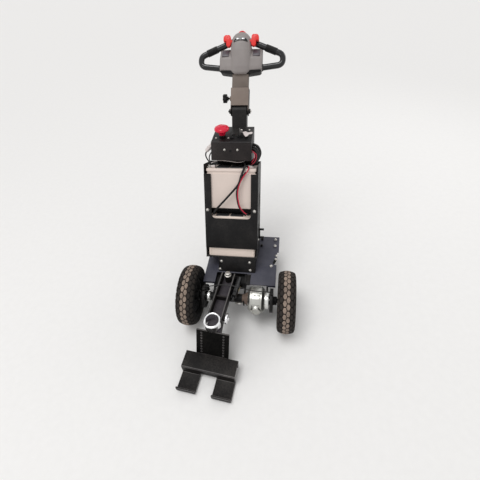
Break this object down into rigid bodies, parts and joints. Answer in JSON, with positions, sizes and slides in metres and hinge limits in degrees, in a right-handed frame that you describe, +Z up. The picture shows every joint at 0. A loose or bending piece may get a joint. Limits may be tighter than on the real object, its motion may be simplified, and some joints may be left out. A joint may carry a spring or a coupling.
{
  "type": "pedestrian electric tow tractor",
  "caption": "Walk-behind electric tow tractor with pneumatic drive wheels, rear castors, a leaning battery box, a swinging drawbar with ring and hook, and a tiller.",
  "frame": {"origin": "the point on the floor under the middle of the drive axle", "axes": "+Z up, +X across the machine, the drawbar points to -Y and the operator walks at +Y"},
  "size_m": [0.604, 1.4062, 1.2302],
  "materials": {
    "frame_paint": "black powder coat, fine texture",
    "deck_paint": "blue-black powder coat",
    "hitch_paint": "satin dark grey powder coat with rubbed edges",
    "tiller_paint": "fine textured grey-brown powder coat",
    "battery_case": "pale grey moulded case",
    "battery_lid": "dark vent panels",
    "lead_sheath": "flexible sheath",
    "red_plastic": "glossy red",
    "cast_alloy": "bright machined alloy with dull cast faces",
    "bright_steel": "polished and zinc plated steel",
    "tyre_rubber": "dusty black rubber",
    "castor_rubber": "solid rubber tread on a plastic core",
    "head_plastic": "satin mid-grey moulding",
    "handle_plastic": "gloss black moulding",
    "plate_plastic": "blank dark plate"
  },
  "bodies": {
    "chassis": {"deck": "deck_paint", "foot_bracket": "frame_paint", "battery_box": "frame_paint", "front_plate": "frame_paint", "battery_lower": "battery_case", "battery_upper": "battery_case", "battery_lids": "battery_lid", "battery_leads": "lead_sheath", "control_box": "frame_paint", "stop_button": "red_plastic", "key_switch": "bright_steel", "post": "frame_paint", "side_bracket": "frame_paint", "axle_case": "cast_alloy", "motor_drum": "cast_alloy", "brake_plates": "frame_paint", "brake_cable": "lead_sheath", "axle_gussets": "frame_paint", "kingpin": "bright_steel", "castor_plates": "bright_steel"},
    "wheel_left": {"tyre_left": "tyre_rubber", "rim_left": "cast_alloy"},
    "wheel_right": {"tyre_right": "tyre_rubber", "rim_right": "cast_alloy"},
    "castor_left": {"castor_fork_left": "bright_steel"},
    "castor_left_roller": {"castor_wheel_left": "castor_rubber"},
    "castor_right": {"castor_fork_right": "bright_steel"},
    "castor_right_roller": {"castor_wheel_right": "castor_rubber"},
    "drawbar": {"drawbar_channel": "hitch_paint", "tow_ring": "bright_steel", "hitch_pin": "bright_steel", "damper": "frame_paint", "hitch_plate": "hitch_paint", "hook_bracket": "hitch_paint"},
    "sleeve": {"tiller_sleeve": "tiller_paint", "sleeve_knob": "handle_plastic"},
    "tiller": {"tiller_tube": "tiller_paint", "tiller_head": "head_plastic", "handle_loops": "handle_plastic", "handle_grips": "handle_plastic", "paddles": "red_plastic", "belly_button": "red_plastic", "head_plates": "plate_plastic"}
  },
  "joints": [
    {"name": "wheel_left_spin", "type": "hinge", "parent": "chassis", "child": "wheel_left", "pos_m": [-0.256, 0, 0.16], "axis": [1, 0, 0], "continuous": true},
    {"name": "wheel_right_spin", "type": "hinge", "parent": "chassis", "child": "wheel_right", "pos_m": [0.256, 0, 0.16], "axis": [1, 0, 0], "continuous": true},
    {"name": "castor_left_swivel", "type": "hinge", "parent": "chassis", "child": "castor_left", "pos_m": [-0.142, 0.357, 0.15], "axis": [0, 0, 1], "continuous": true},
    {"name": "castor_left_spin", "type": "hinge", "parent": "castor_left", "child": "castor_left_roller", "pos_m": [-0.142, 0.395, 0.075], "axis": [1, 0, 0], "continuous": true},
    {"name": "castor_right_swivel", "type": "hinge", "parent": "chassis", "child": "castor_right", "pos_m": [0.142, 0.357, 0.15], "axis": [0, 0, 1], "continuous": true},
    {"name": "castor_right_spin", "type": "hinge", "parent": "castor_right", "child": "castor_right_roller", "pos_m": [0.142, 0.395, 0.075], "axis": [1, 0, 0], "continuous": true},
    {"name": "drawbar_swing", "type": "hinge", "parent": "chassis", "child": "drawbar", "pos_m": [-0.06, 0.082, 0.2], "axis": [0, 0, 1], "range_deg": [-10, 28]},
    {"name": "tiller_tilt", "type": "hinge", "parent": "chassis", "child": "sleeve", "pos_m": [-0.03, 0.67959, 0.89795], "axis": [1, 0, 0], "range_deg": [-30, 12]},
    {"name": "tiller_slide", "type": "slide", "parent": "sleeve", "child": "tiller", "axis": [0, 0.6157, 0.788], "range_m": [0, 0.035]}
  ]
}
